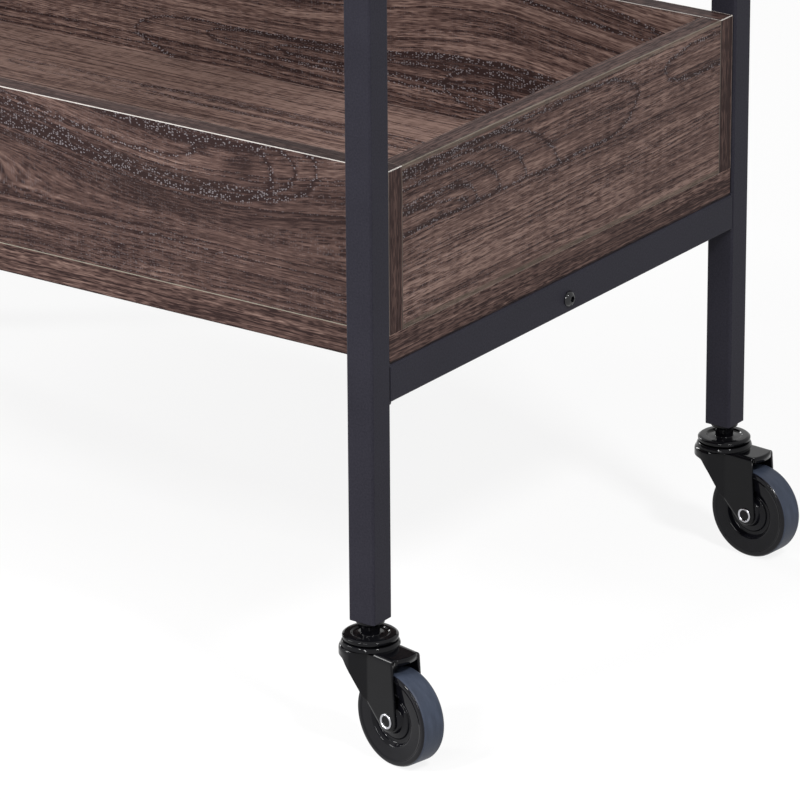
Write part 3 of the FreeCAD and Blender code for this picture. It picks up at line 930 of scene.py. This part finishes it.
def build_pieces():
    """Adds the detailed pieces and takes their plain solids' place."""
    finish_mesh("stems_detail", stems, MATERIALS["caster"], "trolley",
                replaces=["caster_stems"])
    finish_mesh("side_bolts", bolts, MATERIALS["bolt"], "trolley")
    finish_mesh("tray_screws", tray_screws, MATERIALS["bolt"], "trolley")
    finish_mesh("weld_beads", welds, MATERIALS["steel"], "trolley", sharp=60)
    for face, side in CORNERS:
        name = f"{face}_{side}"
        stem = stem_frame(face, side)
        wheel = stem @ Matrix.Translation(Vector((TRAIL, 0, AXLE)) * MM)
        wheel = wheel @ Matrix.Rotation(math.pi / 2, 4, "X")
        body = f"fork_{name}"
        shell = finish_mesh(f"fork_shell_{name}", fork, MATERIALS["caster"], body, stem,
                            replaces=[f"caster_{name}_fork"])
        thick = shell.modifiers.new("plate", "SOLIDIFY")
        thick.thickness = PLATE * MM
        thick.offset = -1
        thick.use_even_offset = False
        finish_mesh(f"fork_race_{name}", race, MATERIALS["caster"], body, stem)
        finish_mesh(f"axle_rivet_{name}", axle, MATERIALS["bright"], body, wheel,
                    replaces=[f"caster_{name}_axle"])
        body = f"wheel_{name}"
        finish_mesh(f"wheel_core_{name}", core, MATERIALS["core"], body, wheel,
                    replaces=[f"caster_{name}_wheel"])
        finish_mesh(f"wheel_tyre_{name}", tread, MATERIALS["tyre"], body, wheel,
                    replaces=[f"caster_{name}_tyre"])


# ---------------------------------------------------------------- studio

def lamp(name, spot, target, size, power, along=(0, 0, 1)):
    """A soft lamp of a width and a length that faces a target, its length laid along a direction."""
    data = bpy.data.lights.new(name, "AREA")
    data.shape = "RECTANGLE"
    data.size, data.size_y = size
    data.energy = power
    away = (Vector(spot) - Vector(target)).normalized()
    across = Vector(along).cross(away).normalized()
    turn = Matrix((across, away.cross(across), away)).transposed().to_4x4()
    made = bpy.data.objects.new(name, data)
    made.matrix_world = Matrix.Translation(spot) @ turn
    bpy.context.scene.collection.objects.link(made)


def cleared(owner):
    """Expressions for the emptied node tree of a world or a material."""
    owner.use_nodes = True
    owner.node_tree.nodes.clear()
    return Formula(owner.node_tree)


def background_share(s):
    """1 for rays that see the background: the camera's, mirrored and transmitted ones."""
    path = s.node("ShaderNodeLightPath")
    total = Field(s, path.outputs["Is Camera Ray"])
    for kind in ("Is Glossy Ray", "Is Transmission Ray"):
        total = total.least(path.outputs[kind])
    return total


def white_world():
    """World of soft light that is plain white where it is seen."""
    world = bpy.data.worlds.new("studio")
    s = cleared(world)
    shades = []
    for strength in (SOFT_LIGHT, 1.0):
        shade = s.node("ShaderNodeBackground")
        s.put(shade.inputs["Color"], (1.0, 1.0, 1.0))
        s.put(shade.inputs["Strength"], strength)
        shades.append(shade.outputs[0])
    s.put(s.node("ShaderNodeOutputWorld").inputs["Surface"], s.blend(background_share(s), *shades))
    bpy.context.scene.world = world


def paper():
    """Floor of white paper that keeps the trolley's shadow and throws only half its light back up."""
    material = bpy.data.materials.new("paper")
    s = cleared(material)
    seen = background_share(s)
    diffuse = s.node("ShaderNodeBsdfDiffuse")
    s.put(diffuse.inputs["Color"], s.mix(seen, (0.5, 0.5, 0.5), (0.9, 0.9, 0.9)))
    glow = s.node("ShaderNodeEmission")
    s.put(glow.inputs["Color"], (1.0, 1.0, 1.0))
    s.put(glow.inputs["Strength"], 1.0)
    surface = s.blend(seen * PAPER_GLOW, diffuse.outputs[0], glow.outputs[0])
    s.put(s.node("ShaderNodeOutputMaterial").inputs["Surface"], surface)
    return material


def camera():
    """The camera of the photograph."""
    data = bpy.data.cameras.new("camera")
    data.sensor_width = SENSOR_WIDTH
    data.lens = FOCAL_PIXELS / PHOTO_WIDTH * SENSOR_WIDTH
    data.clip_end = 60.0
    made = bpy.data.objects.new("camera", data)
    aim = Euler((math.radians(90 - CAMERA_DOWN), 0, math.radians(CAMERA_TURN))).to_matrix().to_4x4()
    roll = Matrix.Rotation(math.radians(CAMERA_ROLL), 4, "Z")
    made.matrix_world = Matrix.Translation(CAMERA_AT) @ aim @ roll
    bpy.context.scene.collection.objects.link(made)
    bpy.context.scene.camera = made


def studio():
    """White world and floor, soft lamps and the camera."""
    white_world()
    mesh = bpy.data.meshes.new("floor")
    corners = [(x * FLOOR_HALF, y * FLOOR_HALF, 0) for x, y in ((-1, -1), (1, -1), (1, 1), (-1, 1))]
    mesh.from_pydata(corners, [], [(0, 1, 2, 3)])
    mesh.materials.append(paper())
    floor = bpy.data.objects.new("floor", mesh)
    bpy.context.scene.collection.objects.link(floor)

    lamp("front", (-0.3, -2.8, 2.7), (0.15, 0.0, 0.3), (0.5, 0.5), 68)
    lamp("side", (2.5, -0.9, 2.9), (0.2, 0.0, 0.3), (0.5, 0.5), 84)
    lamp("strip", (1.07, -2.93, 1.82), (0.39, -0.21, 0.07), (0.12, 1.7), 40, along=(0.67, -0.24, -0.76))
    lamp("left_front", (-2.4, -1.45, 2.1), (0.3, 0.0, 0.1), (0.5, 1.7), 54)
    lamp("left_back", (-2.9, 0.9, 1.2), (0.3, 0.0, 0.1), (0.5, 1.5), 40)
    camera()
    bpy.context.scene.view_settings.view_transform = "Standard"


dress_solids()
build_pieces()
studio()
bpy.context.view_layer.update()
